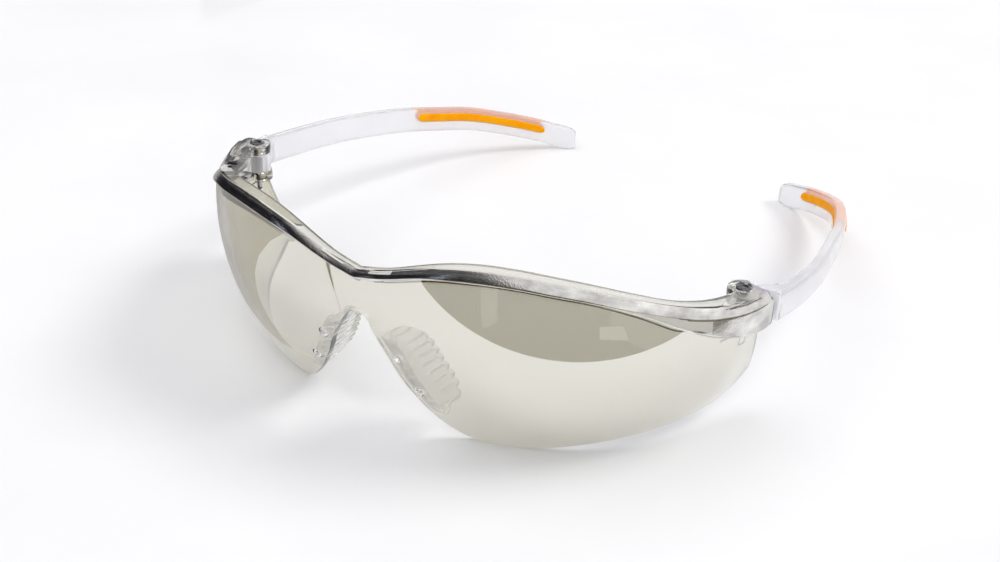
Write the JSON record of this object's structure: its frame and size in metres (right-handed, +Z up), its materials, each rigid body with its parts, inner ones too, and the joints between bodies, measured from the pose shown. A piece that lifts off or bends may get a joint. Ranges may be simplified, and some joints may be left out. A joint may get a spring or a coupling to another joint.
{
  "type": "safety glasses",
  "caption": "Wrap-round safety glasses: a clear one-piece shield with a brow ledge, ribbed nose pads, and two folding clear temples with orange grip strips.",
  "frame": {"origin": "on the table under the middle of the open glasses: middle of the box in X and Y, bottom in Z", "axes": "+Z up, lenses facing -Y, temples pointing to +Y, the wearer's left at +X"},
  "size_m": [0.1478, 0.166, 0.047],
  "materials": {
    "shield": "clear polycarbonate with a light mirror coating",
    "temple": "clear moulded polycarbonate",
    "pad": "clear soft moulded, satin",
    "grip": "orange soft moulded, satin",
    "pin": "dark oxide"
  },
  "bodies": {
    "front": {"front_shield": "shield", "nose_pad_left": "pad", "nose_pad_right": "pad", "hinge_pin_left": "pin", "hinge_pin_right": "pin"},
    "left_temple": {"temple_left": "temple", "temple_grip_left": "grip"},
    "right_temple": {"temple_right": "temple", "temple_grip_right": "grip"}
  },
  "joints": [
    {"name": "left_temple_fold", "type": "hinge", "parent": "front", "child": "left_temple", "pos_m": [0.06642, -0.0367, 0.031], "axis": [0, 0, 1], "range_deg": [0, 79]},
    {"name": "right_temple_fold", "type": "hinge", "parent": "front", "child": "right_temple", "pos_m": [-0.06642, -0.0367, 0.031], "axis": [0, 0, -1], "range_deg": [0, 73]}
  ]
}
